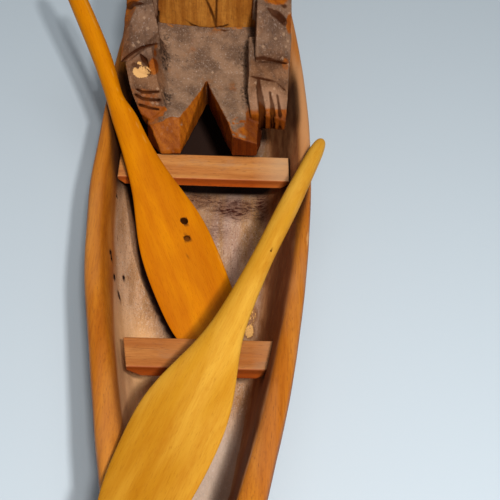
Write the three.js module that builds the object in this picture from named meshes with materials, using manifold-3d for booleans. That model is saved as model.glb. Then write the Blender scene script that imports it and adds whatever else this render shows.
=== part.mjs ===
// A small souvenir canoe carved from wood: a one-block hull, three thwarts, a seated carved
// figure and two loose paddles.
// Millimetres. X runs to the bow, Y to port, Z up. The origin is on the flat of the keel at mid-length.
import * as THREE from 'three';
import { mergeVertices } from 'three/addons/utils/BufferGeometryUtils.js';
import Module from 'manifold-3d';

const wasm = await Module();
wasm.setup();

// Driving dimensions of the hull
const halfLength = 168; // to the flat of each stem
const noseLength = 2; // rounding in front of that flat
const halfBeam = 29;
const rimHeight = 26; // of the rim amidships
const stemRise = 12; // how much higher the rim is near the stems
const floorHeight = 5; // inside floor above the table
const keelFlat = 95; // half the length that stands flat
const keelRise = 24; // the keel's height where it meets the stem
const rimWidth = 4.2; // width of the rim amidships
const rimGrowth = 2; // how much wider the rim is 105 mm from the middle
const hollowEnd = 144; // the hollow's reach to each side
const floorFlat = 92; // half the length of the level floor
const fit = 0.3; // clearance between pieces that rest on each other

// Driving dimensions of what the hull carries
const seatTop = 20; // top of every thwart
const figureSeat = seatTop + fit;

const span = (x, reach) => (x / reach) ** 2;
const halfBreadth = (x) => halfBeam * (1 - 1.039 * span(x, halfLength) + 0.138 * span(x, halfLength) ** 2);
const sheer = (x) => rimHeight + stemRise * (Math.abs(x) / 165) ** 2.5;
const keel = (x) => keelRise * Math.max(0, (Math.abs(x) - keelFlat) / (halfLength - keelFlat)) ** 2.6;
const innerRim = (x) => halfBreadth(x) - rimWidth - rimGrowth * span(x, 105);
const floor = (x) => {
  const past = Math.max(0, (Math.abs(x) - floorFlat) / (146 - floorFlat));
  return floorHeight + (sheer(x) - floorHeight - 3) * past ** 2;
};

// A closed solid through rings of equal length, each ring counter-clockwise seen against its travel
function loft(rings) {
  const count = rings[0].length;
  const positions = rings.flat().flatMap((point) => point.toArray());
  const index = [];
  for (let r = 0; r < rings.length - 1; r += 1) {
    for (let i = 0; i < count; i += 1) {
      const a = r * count + i;
      const b = r * count + ((i + 1) % count);
      index.push(a, b, b + count, a, b + count, a + count);
    }
  }
  for (let i = 1; i < count - 1; i += 1) {
    const last = (rings.length - 1) * count;
    index.push(0, i + 1, i);
    index.push(last, last + i, last + i + 1);
  }
  const geometry = new THREE.BufferGeometry();
  geometry.setAttribute('position', new THREE.Float32BufferAttribute(positions, 3));
  geometry.setIndex(index);
  return geometry;
}

function toSolid(geometry) {
  const bare = geometry.clone();
  bare.deleteAttribute('normal');
  bare.deleteAttribute('uv');
  const merged = mergeVertices(bare, 1e-4);
  const vertProperties = new Float32Array(merged.attributes.position.array);
  const triVerts = new Uint32Array(merged.index.array);
  return new wasm.Manifold(new wasm.Mesh({ numProp: 3, vertProperties, triVerts }));
}

function toGeometry(solid) {
  const mesh = solid.getMesh();
  const geometry = new THREE.BufferGeometry();
  geometry.setAttribute('position', new THREE.Float32BufferAttribute(mesh.vertProperties, 3));
  geometry.setIndex(new THREE.Uint32BufferAttribute(mesh.triVerts, 1));
  geometry.computeVertexNormals();
  return geometry;
}

function piece(name, geometry, color, roughness) {
  const material = new THREE.MeshStandardMaterial({ color, roughness, metalness: 0 });
  const mesh = new THREE.Mesh(geometry, material);
  mesh.name = name;
  return mesh;
}

// Hull, outside. Share of the half-breadth amidships, the same at the stems, share of the height.
const outsideShape = [
  [0.4, 0.3, 0],
  [0.66, 0.46, 0.05],
  [0.81, 0.62, 0.17],
  [0.91, 0.77, 0.42],
  [0.975, 0.9, 0.72],
  [1, 1, 0.95],
];
const rimRound = 1; // the outer edge of the rim is rounded by this much

function outsideRing(x, scale) {
  const ends = (Math.abs(x) / halfLength) ** 2;
  const low = keel(x);
  const high = sheer(x);
  const middle = (low + high) / 2;
  const half = outsideShape.map(([mid, stem, up]) => {
    const across = halfBreadth(x) * THREE.MathUtils.lerp(mid, stem, Math.min(ends, 1));
    return [across, low + up * (high - low)];
  });
  half.push([halfBreadth(x) - rimRound * Math.min(1, halfBreadth(x) / 6), high]);
  const port = half.map(([y, z]) => [y * scale, middle + (z - middle) * (0.5 + scale / 2)]);
  const starboard = port.map(([y, z]) => [-y, z]).reverse();
  const at = x + Math.sign(x) * (scale < 1 ? noseLength : 0);
  return [...port, ...starboard].map(([y, z]) => new THREE.Vector3(at, y, z));
}

// Hull, hollow. Share of the half-breadth inside the rim, share of the depth.
const hollowShape = [
  [0.7, 0],
  [0.79, 0.05],
  [0.845, 0.16],
  [0.94, 0.7],
  [1, 0.92],
];
const rimBevel = 1.1; // the inner edge of the rim is bevelled by this much
const cutAbove = 12; // the cut runs on this far over the rim

function hollowRing(x) {
  const low = floor(x);
  const high = sheer(x);
  const half = hollowShape.map(([across, up]) => [innerRim(x) * across, low + up * (high - low)]);
  half.push([innerRim(x) + rimBevel, high]);
  half.push([innerRim(x) + rimBevel, high + cutAbove]);
  const starboard = half.map(([y, z]) => [-y, z]).reverse();
  return [...half, ...starboard].map(([y, z]) => new THREE.Vector3(x, y, z));
}

const mirrored = (places) => [...places.map((x) => -x).reverse(), 0, ...places];
const outsideStations = mirrored([12, 25, 38, 50, 61, 72, 92, 110, 125, 138, 149, 158, 164, halfLength]);
const hollowStations = mirrored([12, 25, 38, 50, 61, 72, 92, 108, 121, 131, 139, hollowEnd]);
const noseScale = 0.4;

function hullGeometry() {
  const rings = outsideStations.map((x) => outsideRing(x, 1));
  rings.unshift(outsideRing(-halfLength, noseScale));
  rings.push(outsideRing(halfLength, noseScale));
  const outside = toSolid(loft(rings));
  const hollow = toSolid(loft(hollowStations.map(hollowRing)));
  return toGeometry(outside.subtract(hollow));
}

// Half-breadth of the hollow at one height
function innerWall(x, z) {
  const up = (z - floor(x)) / (sheer(x) - floor(x));
  const next = hollowShape.findIndex(([, share]) => share >= up);
  const [wideA, upA] = hollowShape[next - 1];
  const [wideB, upB] = hollowShape[next];
  return innerRim(x) * THREE.MathUtils.mapLinear(up, upA, upB, wideA, wideB);
}

// Thwarts. Name, aft edge, fore edge, thickness, chamfer under the ends along and up.
const thwarts = [
  ['thwart_aft', -57, -47.4, 2.8, 2, 1.6],
  ['thwart_mid', 2.5, 12.2, 2.8, 2, 1.6],
  ['thwart_fore', 67, 75.4, 3.5, 4, 2.6],
];

function thwartGeometry(aft, fore, thick, chamferAlong, chamferUp) {
  const bottom = seatTop - thick;
  const narrow = Math.abs(aft) > Math.abs(fore) ? aft : fore;
  const top = innerWall(narrow, seatTop) - fit;
  const side = innerWall(narrow, bottom + chamferUp) - fit;
  const outline = new THREE.Shape([
    new THREE.Vector2(-side + chamferAlong, bottom),
    new THREE.Vector2(side - chamferAlong, bottom),
    new THREE.Vector2(side, bottom + chamferUp),
    new THREE.Vector2(top, seatTop),
    new THREE.Vector2(-top, seatTop),
    new THREE.Vector2(-side, bottom + chamferUp),
  ]);
  const geometry = new THREE.ExtrudeGeometry(outline, { depth: fore - aft, bevelEnabled: false });
  geometry.applyMatrix4(new THREE.Matrix4().makeBasis(
    new THREE.Vector3(0, 1, 0),
    new THREE.Vector3(0, 0, 1),
    new THREE.Vector3(1, 0, 0),
  ));
  return geometry.translate(aft, 0, 0);
}

// Paddles. Each is a straight piece: a round shaft that flattens into a leaf-shaped blade.
// Stations: distance from the tip of the blade, half the width, half the thickness.
const loosePaddle = {
  tip: [128.8, -12.2, 33.5],
  grip: [4.3, 31.3, 28],
  stations: [
    [0, 1.6, 0.6],
    [2.5, 4.2, 0.9],
    [6, 6.2, 1.1],
    [11, 7.7, 1.2],
    [17, 8.8, 1.3],
    [27, 9.2, 1.4],
    [38, 9, 1.5],
    [43.5, 7.8, 1.6],
    [51.5, 5.4, 1.8],
    [58.5, 3.8, 1.9],
    [70, 3, 2],
    [84, 2.2, 2],
    [99, 2.5, 2.2],
    [115, 2.1, 2.1],
    [126, 2.1, 2],
    [131, 1.5, 1.4],
    [132, 0.6, 0.6],
  ],
};
const stowedPaddle = {
  tip: [64, 6.3, 8.2],
  grip: [-55.9, -44.1, 41.2],
  stations: [
    [0, 1.6, 0.5],
    [3, 5.6, 0.8],
    [7, 7.9, 1],
    [12, 9, 1.2],
    [25, 9.8, 1.3],
    [36, 9.4, 1.4],
    [45, 7.8, 1.5],
    [53.5, 5.3, 1.8],
    [62, 4.2, 2],
    [74, 3.1, 2.2],
    [84, 2.3, 2.2],
    [101, 2.8, 2.6],
    [120, 2.8, 2.6],
    [130, 2.4, 2.4],
    [133, 1.6, 1.6],
    [134, 0.6, 0.6],
  ],
};
const paddleSides = 10;

function paddleGeometry({ tip, grip, stations }) {
  const start = new THREE.Vector3(...tip);
  const along = new THREE.Vector3(...grip).sub(start).normalize();
  const up = new THREE.Vector3(0, 0, 1);
  const across = new THREE.Vector3().crossVectors(up, along).normalize();
  const flat = new THREE.Vector3().crossVectors(along, across);
  const rings = stations.map(([distance, width, thick]) => {
    const centre = start.clone().addScaledVector(along, distance);
    return Array.from({ length: paddleSides }, (unused, i) => {
      const turn = ((i + 0.5) * 2 * Math.PI) / paddleSides;
      return centre.clone()
        .addScaledVector(across, width * Math.cos(turn))
        .addScaledVector(flat, thick * Math.sin(turn));
    });
  });
  return loft(rings);
}

// Seated figure, carved from one block. Its legs end at the knees, which rest on the middle thwart.
const figureBack = -55;
const kneeTip = 3.4;
const lapPlan = [ // along, across
  [figureBack, -15],
  [-2, -15.6],
  [kneeTip, -11],
  [kneeTip, -6],
  [-19.5, -0.5],
  [kneeTip, 7.7],
  [kneeTip, 14],
  [0, 15.6],
  [figureBack, 15],
];
const lapProfile = [ // along, up
  [figureBack, figureSeat],
  [kneeTip, figureSeat],
  [kneeTip, figureSeat + 2],
  [-3, 30],
  [-19.5, 31.5],
  [-34, 37.5],
  [figureBack, 37.5],
];
// Torso sections: up, back, front, half the width
const torso = [
  [30, figureBack, -34, 14],
  [38, figureBack, -32.5, 13],
  [50, -54, -31, 13.5],
  [60, -52, -33, 16],
  [65, -50, -36, 12],
  [68, -47, -38, 5.5],
];
// Head sections: up, back, front, half the width
const head = [
  [64, -47.5, -38, 4.8],
  [70, -48, -37.5, 5.2],
  [72, -51, -34.5, 6.4],
  [77, -53, -32.6, 7.8],
  [83, -53.5, -33, 8.2],
  [88, -51.5, -35, 6.8],
  [91, -47, -39, 3.2],
];
// Arm sections, shoulder to fingertips: along, across, up, half the width, half the depth, lean of the
// section towards the table in degrees
const arms = {
  starboard: [
    [-44, -15, 64, 3.2, 5, 90],
    [-43, -18, 58, 4.6, 6.5, 90],
    [-40, -19, 48, 4.6, 8, 75],
    [-33, -19, 42, 4.8, 7, 35],
    [-19, -18.8, 35, 4.7, 5, 28],
    [-10, -16.4, 30.5, 4.2, 5, 25],
    [-2.5, -14.2, 27, 3.2, 3.5, 20],
  ],
  port: [
    [-44, 15, 64, 3.2, 5, 90],
    [-43, 17.5, 58, 4.6, 6.5, 90],
    [-40, 17.5, 48, 4.8, 8, 75],
    [-33, 17.4, 41.5, 4.9, 7, 35],
    [-18, 17.2, 34.5, 5, 4.4, 25],
    [-8, 17, 30, 5, 3.8, 22],
    [1.2, 16.8, 26.4, 4.7, 2.6, 18],
  ],
};

function extruded(outline, depth) {
  const shape = new THREE.Shape(outline.map(([x, y]) => new THREE.Vector2(x, y)));
  return new THREE.ExtrudeGeometry(shape, { depth, bevelEnabled: false });
}

function roundedBox(back, front, half, up) {
  const corner = 0.35 * Math.min(half, (front - back) / 2);
  const corners = [
    [front - corner, -half],
    [front, -half + corner],
    [front, half - corner],
    [front - corner, half],
    [back + corner, half],
    [back, half - corner],
    [back, -half + corner],
    [back + corner, -half],
  ];
  return corners.map(([x, y]) => new THREE.Vector3(x, y, up));
}

function armRing([along, across, up, half, depth, lean]) {
  const tilt = THREE.MathUtils.degToRad(lean);
  const thick = new THREE.Vector3(Math.sin(tilt), 0, Math.cos(tilt));
  const wide = new THREE.Vector3(0, 1, 0);
  const centre = new THREE.Vector3(along, across, up);
  return Array.from({ length: 8 }, (unused, i) => {
    const turn = ((i + 0.5) * Math.PI) / 4;
    return centre.clone()
      .addScaledVector(wide, half * 1.08 * Math.cos(turn))
      .addScaledVector(thick, depth * 1.08 * Math.sin(turn));
  });
}

function figureGeometry() {
  const plan = toSolid(extruded(lapPlan, 30).translate(0, 0, figureSeat));
  const profile = toSolid(extruded(lapProfile, 40).rotateX(Math.PI / 2).translate(0, 20, 0));
  const sections = (rows) => loft(rows.map(([up, back, front, half]) => roundedBox(back, front, half, up)));
  let figure = plan.intersect(profile);
  figure = figure.add(toSolid(sections(torso)));
  figure = figure.add(toSolid(sections(head)));
  Object.values(arms).forEach((rows) => {
    figure = figure.add(toSolid(loft(rows.map(armRing))));
  });
  return toGeometry(figure);
}

const canoe = new THREE.Group();
canoe.add(piece('hull', hullGeometry(), 0xb4713c, 0.55));
thwarts.forEach(([name, ...sizes]) => canoe.add(piece(name, thwartGeometry(...sizes), 0xc98f5a, 0.6)));
canoe.add(piece('paddle_loose', paddleGeometry(loosePaddle), 0xe0a540, 0.4));
canoe.add(piece('paddle_stowed', paddleGeometry(stowedPaddle), 0xd5811e, 0.4));
canoe.add(piece('seated_figure', figureGeometry(), 0x73563f, 0.65));

export default canoe;
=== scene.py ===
# Dresses a small carved wooden canoe: hull, thwarts, two paddles and a seated carved figure.
# Metres. X runs to the bow, Y to port, Z up, and the table is at zero.
import math
import bmesh
import bpy
import numpy as np
from mathutils import Matrix, Vector


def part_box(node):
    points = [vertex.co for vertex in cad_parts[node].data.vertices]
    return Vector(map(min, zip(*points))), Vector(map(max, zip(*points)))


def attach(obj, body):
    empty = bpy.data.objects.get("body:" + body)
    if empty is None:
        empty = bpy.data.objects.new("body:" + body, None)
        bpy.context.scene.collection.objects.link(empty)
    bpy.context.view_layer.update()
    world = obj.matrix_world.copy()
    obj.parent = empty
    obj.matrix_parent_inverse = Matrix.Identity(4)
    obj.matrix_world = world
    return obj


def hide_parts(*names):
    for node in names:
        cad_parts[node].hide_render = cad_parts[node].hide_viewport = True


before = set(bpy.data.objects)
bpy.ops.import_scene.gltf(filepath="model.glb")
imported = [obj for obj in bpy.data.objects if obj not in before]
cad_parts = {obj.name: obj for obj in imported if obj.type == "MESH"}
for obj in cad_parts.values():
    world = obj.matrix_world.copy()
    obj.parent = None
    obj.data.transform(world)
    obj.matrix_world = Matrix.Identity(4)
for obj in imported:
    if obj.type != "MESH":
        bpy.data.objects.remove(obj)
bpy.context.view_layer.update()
scene = bpy.context.scene
scene.view_settings.view_transform = "Standard"
mm = 0.001
tiny = 0.01 * mm

# Camera, lights and floor

view = {
    "place": (0.21168, 0.0063, 0.19845),
    "heading": 2.06,  # degrees that the view turns from straight aft
    "down": 45.8,     # degrees below the horizon
    "roll": 3.2,      # degrees
    "lens": 72,       # mm on a 36 mm square frame
}


def makeCamera():
    turn = Matrix.Rotation(math.radians(90 - view["heading"]), 4, "Z")
    tilt = Matrix.Rotation(math.radians(90 - view["down"]), 4, "X")
    roll = Matrix.Rotation(math.radians(view["roll"]), 4, "Z")
    bpy.ops.object.camera_add()
    camera = bpy.context.object
    camera.name = "camera"
    camera.matrix_world = Matrix.Translation(view["place"]) @ turn @ tilt @ roll
    camera.data.lens = view["lens"]
    camera.data.sensor_width = 36
    camera.data.clip_start = 0.01
    scene.camera = camera
    print("camera stands at", view["place"])


room = {
    "lamps": (  # name, place and size in metres, power
        ("key", (0.262, 0.079, 0.31), 0.02, 1.1),
        ("second", (0.63, 0.125, 0.78), 0.06, 3.75),
        ("soft", (0.05, 0.1, 1.3), 0.9, 3.4),
    ),
    "air": (0.80, 0.90, 1.0, 1),
    "airStrength": 0.17,
    "floor": (0.50, 0.56, 0.60, 1),
}


def makeRoom():
    for name, spot, size, power in room["lamps"]:
        bpy.ops.object.light_add(type="AREA", location=spot)
        lamp = bpy.context.object
        lamp.name = name
        lamp.rotation_euler = Vector(spot).to_track_quat("Z", "Y").to_euler()
        lamp.data.size = size
        lamp.data.energy = power
    world = bpy.data.worlds.new("room")
    world.use_nodes = True
    air = world.node_tree.nodes["Background"]
    air.inputs["Color"].default_value = room["air"]
    air.inputs["Strength"].default_value = room["airStrength"]
    scene.world = world
    bpy.ops.mesh.primitive_plane_add(size=3)
    floor = bpy.context.object
    floor.name = "floor"
    paper = bpy.data.materials.new("floor_paper")
    paper.use_nodes = True
    shader = paper.node_tree.nodes["Principled BSDF"]
    shader.inputs["Base Color"].default_value = room["floor"]
    shader.inputs["Roughness"].default_value = 0.9
    floor.data.materials.append(paper)
    print("room is lit by", len(room["lamps"]), "lamps")


# Workbench: small steps that every piece uses

def clearSelection():
    if bpy.context.mode != "OBJECT":
        bpy.ops.object.mode_set(mode="OBJECT")
    bpy.ops.object.select_all(action="DESELECT")


def takeUp(piece):
    clearSelection()
    piece.select_set(True)
    bpy.context.view_layer.objects.active = piece


def openMesh(piece):
    takeUp(piece)
    bpy.ops.object.mode_set(mode="EDIT")
    pickAll()


def closeMesh():
    bpy.ops.object.mode_set(mode="OBJECT")


def pickAll():
    bpy.ops.mesh.select_all(action="SELECT")


def pick(piece, test, kind="VERT"):
    # Selects the points, or the faces, that pass the test
    bpy.ops.mesh.select_mode(type=kind)
    bpy.ops.mesh.select_all(action="DESELECT")
    mesh = bmesh.from_edit_mesh(piece.data)
    for item in mesh.verts if kind == "VERT" else mesh.faces:
        item.select = bool(test(item))
    mesh.select_flush(True)
    bmesh.update_edit_mesh(piece.data)


def pickedPoints(piece):
    return [point for point in bmesh.from_edit_mesh(piece.data).verts if point.select]


def numbersOf(points):
    return {point.index for point in points}


def drawOut(step):
    bpy.ops.mesh.extrude_region_move(TRANSFORM_OT_translate={"value": tuple(step)})


def push(step, reach, connected=False):
    # Moves what is selected and draws its surroundings softly along
    bpy.ops.transform.translate(value=step, use_proportional_edit=True, use_proportional_connected=connected,
                                proportional_edit_falloff="SMOOTH", proportional_size=reach)


def sliceOff(place, outward):
    pickAll()
    bpy.ops.mesh.bisect(plane_co=place, plane_no=outward, use_fill=True, clear_outer=True)


def faceOutwards():
    pickAll()
    bpy.ops.mesh.normals_make_consistent(inside=False)


def settle(piece):
    takeUp(piece)
    bpy.ops.object.transform_apply(location=True, rotation=True, scale=True)


def startBlock(name, low, high):
    clearSelection()
    bpy.ops.mesh.primitive_cube_add(size=1, location=(low + high) / 2, scale=high - low)
    block = bpy.context.object
    block.name = name
    settle(block)
    openMesh(block)
    return block


def applyAll(piece):
    takeUp(piece)
    for modifier in list(piece.modifiers):
        bpy.ops.object.modifier_apply(modifier=modifier.name)


def smoothOut(piece):
    rounding = piece.modifiers.new("rounding", "SUBSURF")
    rounding.levels = 3
    rounding.render_levels = 3
    applyAll(piece)


def wearDown(piece, voxel):
    wear = piece.modifiers.new("wear", "REMESH")
    wear.mode = "VOXEL"
    wear.voxel_size = voxel
    applyAll(piece)


def roughen(piece, name, size, depth, stretch=(1, 1, 1)):
    # Uneven surface of a hand-cut piece. The empty stretches the pattern and goes again at once.
    pattern = bpy.data.textures.new(name, "CLOUDS")
    pattern.noise_scale = size
    pattern.noise_depth = 1
    clearSelection()
    bpy.ops.object.empty_add()
    helper = bpy.context.object
    helper.scale = stretch
    bpy.context.view_layer.update()
    uneven = piece.modifiers.new(name, "DISPLACE")
    uneven.texture = pattern
    uneven.texture_coords = "OBJECT"
    uneven.texture_coords_object = helper
    uneven.strength = depth
    uneven.mid_level = 0.5
    applyAll(piece)
    bpy.data.objects.remove(helper)


def grooveTube(points, sides=6):
    # A tapering tube along the points, each with its own radius, in mm
    clearSelection()
    bpy.ops.mesh.primitive_circle_add(vertices=sides, radius=1, fill_type="NGON")
    tube = bpy.context.object
    places = [(Vector(place) * mm, radius * mm) for *place, radius in points]
    heading = (places[1][0] - places[0][0]).normalized()
    tube.rotation_euler = heading.to_track_quat("Z", "Y").to_euler()
    tube.scale = (places[0][1],) * 3
    tube.location = places[0][0]
    settle(tube)
    openMesh(tube)
    for (before, wide), (here, narrow) in zip(places, places[1:]):
        drawOut(here - before)
        bpy.ops.transform.resize(value=(narrow / wide,) * 3, center_override=tuple(here))
    faceOutwards()
    closeMesh()
    return tube


def cutAway(body, tool):
    cut = body.modifiers.new("cut", "BOOLEAN")
    cut.object = tool
    cut.operation = "DIFFERENCE"
    cut.solver = "MANIFOLD"
    applyAll(body)
    bpy.data.objects.remove(tool)


def finishPiece(piece, node, material):
    piece.data.materials.clear()
    piece.data.materials.append(material)
    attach(piece, "root")
    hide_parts(node)
    print(piece.name, "has", len(piece.data.polygons), "faces")


# Wood: every material is built from the same few layers, in the tree that startWood opened

tree = None


def startWood(name, turn):
    global tree
    material = bpy.data.materials.new(name)
    material.use_nodes = True
    tree = material.node_tree
    return material, turned(addNode("TexCoord").outputs["Object"], turn)


def plug(socket, value):
    if isinstance(value, bpy.types.NodeSocket):
        tree.links.new(value, socket)
    else:
        socket.default_value = value


def addNode(kind, settings=None, **inputs):
    node = tree.nodes.new("ShaderNode" + kind)
    for name, value in (settings or {}).items():
        setattr(node, name, value)
    for name, value in inputs.items():
        plug(node.inputs[int(name[1:]) if name[1:].isdigit() else name.replace("_", " ")], value)
    return node


def blend(factor, below, above, how="MIX"):
    settings = {"data_type": "RGBA", "blend_type": how, "clamp_factor": True}
    below, above = ((*tint, 1) if isinstance(tint, tuple) else tint for tint in (below, above))
    return addNode("Mix", settings, i0=factor, i6=below, i7=above).outputs[2]


def calc(how, first, second):
    return addNode("Math", {"operation": how}, i0=first, i1=second).outputs[0]


def times(first, second):
    return calc("MULTIPLY", first, second)


def span(value, low, high, outLow=0.0, outHigh=1.0):
    return addNode("MapRange", {"interpolation_type": "SMOOTHSTEP"}, Value=value, From_Min=low, From_Max=high,
                   To_Min=outLow, To_Max=outHigh).outputs[0]


def turned(place, turn):
    return addNode("Mapping", Vector=place, Rotation=tuple(math.radians(a) for a in turn)).outputs[0]


def stretched(place, sizes):
    return addNode("Mapping", Vector=place, Scale=tuple(1000 / size for size in sizes)).outputs[0]


def speckle(place, sizes, detail=3.0, rough=0.55, bend=0.0):
    # Noise with its size in mm along, across and up
    return addNode("TexNoise", Vector=stretched(place, sizes), Scale=1.0, Detail=detail, Roughness=rough,
                   Distortion=bend).outputs["Fac"]


def painted(name):
    return addNode("Attribute", {"attribute_name": name}).outputs["Fac"]


def mottle(pattern, low, high, dark, light):
    return blend(span(pattern, low, high), dark, light)


def layOn(colour, coats, masks, pattern=None):
    # Lays coats over a colour, each where its mask says. A mask is one of those given here, or else painted
    # on the piece. A tint of four entries is mottled by the pattern.
    for name, strength, tint, *how in coats:
        mask = masks[name] if name in masks else painted(name)
        tint = mottle(pattern, *tint) if len(tint) == 4 else tint
        colour = blend(mask if strength == 1 else times(mask, strength), colour, tint, *how)
    return colour


def grainLayers(place, look):
    # Colour of clean wood, and the height that its bump follows
    rings = addNode("TexWave", {"wave_type": "BANDS", "bands_direction": "DIAGONAL"},
                    Vector=stretched(place, look["rings"]), Scale=0.5, Distortion=5.0, Detail=2.0,
                    Detail_Scale=0.8).outputs["Fac"]
    fibre = speckle(place, look["fibre"], 4.0, 0.6)
    pores = span(speckle(place, look["pores"], 1.0), 0.63, 0.72)
    masks = {"rings": span(rings, 0.3, 0.9), "fibre": span(fibre, 0.42, 0.7), "pores": pores}
    colour = mottle(speckle(place, look["cloud"], 2.0), 0.35, 0.65, look["dark"], look["light"])
    colour = layOn(colour, (("rings", look["ringDepth"], look["line"], "MULTIPLY"),
                            ("fibre", look["fibreDepth"], look["line"], "MULTIPLY"),
                            ("pores", look["poreDepth"], look["pore"])), masks)
    height = calc("SUBTRACT", times(fibre, -0.5), times(pores, 0.4))
    return colour, calc("SUBTRACT", height, times(rings, 0.2))


def edgeWearAndCornerShade(reach=1.6, clear=0.85, tight=0.35):
    # Worn convex edges, and painted shade in the corners and wherever another piece lies close
    sharp = addNode("NewGeometry").outputs["Pointiness"]
    shade = addNode("AmbientOcclusion", {"samples": 8}, Distance=reach * mm).outputs["AO"]
    return {"edge": span(sharp, 0.52, 0.6), "corner": span(shade, clear, tight)}


def endWood(colour, roughness, height, bump, gloss):
    relief = addNode("Bump", Height=height, Strength=bump, Distance=0.25 * mm).outputs[0]
    sockets = tree.nodes["Principled BSDF"].inputs
    plug(sockets["Base Color"], colour)
    plug(sockets["Roughness"], roughness)
    plug(sockets["Normal"], relief)
    plug(sockets["Specular IOR Level"], gloss)


# Painted masks: worked out from the places in mm and the normals of all points at once

def surface(piece):
    points = piece.data.vertices
    both = []
    for kind in ("co", "normal"):
        values = np.empty(len(points) * 3)
        points.foreach_get(kind, values)
        both.append(values.reshape(-1, 3).T)
    return both[0] / mm, both[1]


def paint(piece, masks):
    for name, values in masks.items():
        layer = piece.data.attributes.new(name, "FLOAT", "POINT")
        layer.data.foreach_set("value", np.clip(values, 0, 1).astype(np.float32))


def ramp(value, low, high):
    return np.clip((value - low) / (high - low), 0, 1)


def dab(place, spots):
    # The strongest of some soft spots. Each has its place, its reach along, across and up, and its strength.
    best = np.zeros(place.shape[1])
    for middle, reach, strength in spots:
        away = np.linalg.norm((place.T - middle) / reach, axis=1)
        best = np.maximum(best, strength * ramp(away, 1.3, 0.6))
    return best


def awayFrom(place, lines):
    # How far each place is from the nearest of some cut lines, less that line's own width there
    best = np.full(place.shape[1], 99.0)
    for line in lines:
        for start, end in zip(line, line[1:]):
            start, wide = np.array(start[:3]), start[3]
            step, narrow = np.array(end[:3]) - start, end[3]
            share = np.clip((place.T - start) @ step / (step @ step), 0, 1)
            gap = np.linalg.norm(place.T - start - share[:, None] * step, axis=1)
            best = np.minimum(best, gap - wide - (narrow - wide) * share)
    return best


# Hull

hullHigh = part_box("hull")[1]
hullForm = {
    "halfLength": 168 * mm,
    "nose": hullHigh.x - 168.1 * mm,
    "noseTaper": (1, 0.45, 0.72),
    "halfBeam": hullHigh.y,
    "rimHeight": 26 * mm,
    "stemRise": 12 * mm,
    "floorHeight": 5 * mm,
    "keelFlat": 95 * mm,
    "keelRise": 24 * mm,
    "rimWidth": 4.2 * mm,
    "rimGrowth": 2 * mm,
    "rimBevel": 1.1 * mm,
    "rimRound": 1 * mm,
    "hollowEnd": 146 * mm,
    "floorFlat": 92 * mm,
    "stations": (12, 25, 38, 50, 61, 72, 82, 92, 101, 110, 118, 126, 133, 139, 144, 149, 154, 159, 164),
    # share of the half-breadth amidships, the same at the stems, share of the height
    "outside": ((0.4, 0.3, 0), (0.66, 0.46, 0.05), (0.81, 0.62, 0.17), (0.91, 0.77, 0.42),
                (0.975, 0.9, 0.72), (1, 1, 0.95)),
    # share of the half-breadth inside the rim, share of the depth
    "hollow": ((1, 0.92), (0.935, 0.7), (0.865, 0.42), (0.79, 0.19), (0.71, 0.06), (0.6, 0)),
    "wornRim": {"end": 125 * mm, "down": 4 * mm, "reach": 3 * mm, "strokes": 40},
    # both to starboard: where it is fuller, by how much, and how far round
    "fullSide": {"x": 38 * mm, "z": 18 * mm, "by": 0.7 * mm, "round": 26 * mm},
    "fullFloor": {"x": 35 * mm, "along": 45 * mm, "by": 2.2 * mm, "round": 13 * mm},
    # woodworm and nicks in the starboard side: mouth and end in mm, each with its radius
    "holes": (
        ((40.9, -21.5, 20.5, 0.55), (40.0, -22.8, 19.3, 0.4)),
        ((42.5, -21.2, 19.9, 0.42), (41.6, -22.5, 18.6, 0.3)),
        ((47.1, -19.5, 18.4, 0.75), (45.6, -21.4, 16.6, 0.5)),
        ((42.0, -18.6, 12.6, 0.5), (40.9, -20.2, 11.1, 0.3)),
        ((48.9, -19.4, 15.1, 0.25), (49.8, -19.2, 14.4, 0.45), (50.8, -19.1, 13.6, 0.25)),
        ((17.8, -22.3, 17.8, 0.35), (17.2, -23.4, 17.0, 0.2)),
        ((5.8, -22.8, 19.6, 0.35), (5.2, -24.0, 18.8, 0.2)),
    ),
}


def halfBreadth(x):
    u = (x / hullForm["halfLength"]) ** 2
    return hullForm["halfBeam"] * (1 - 1.039 * u + 0.138 * u * u)


def sheer(x):
    return hullForm["rimHeight"] + hullForm["stemRise"] * (abs(x) / (165 * mm)) ** 2.5


def keel(x):
    past = np.maximum(0, (abs(x) - hullForm["keelFlat"]) / (hullForm["halfLength"] - hullForm["keelFlat"]))
    return hullForm["keelRise"] * past ** 2.6


def innerRim(x):
    inner = halfBreadth(x) - hullForm["rimWidth"] - hullForm["rimGrowth"] * (x / (105 * mm)) ** 2
    return np.maximum(0.3 * mm, inner)


def floorAt(x):
    past = np.maximum(0, (abs(x) - hullForm["floorFlat"]) / (hullForm["hollowEnd"] - hullForm["floorFlat"]))
    return hullForm["floorHeight"] + (sheer(x) - hullForm["floorHeight"] - 3 * mm) * past ** 2


def shapeRow(piece, row, widthAt, heightAt):
    # Moves a lengthwise row, station by station, to its breadth and height
    mesh = bmesh.from_edit_mesh(piece.data)
    stations = sorted({round(point.co.x, 6) for point in mesh.verts if point.index in row})
    for x in stations:
        pick(piece, lambda point: point.index in row and abs(point.co.x - x) < tiny)
        here = pickedPoints(piece)
        across = max(abs(point.co.y) for point in here)
        rise = heightAt(x) - here[0].co.z
        if across > tiny:
            bpy.ops.transform.resize(value=(1, widthAt(x) / across, 1), center_override=(x, 0, 0))
        bpy.ops.transform.translate(value=(0, 0, rise))


def outsideWidth(x, mid, stem):
    ends = min(1, (x / hullForm["halfLength"]) ** 2)
    return halfBreadth(x) * (mid + (stem - mid) * ends)


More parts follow.
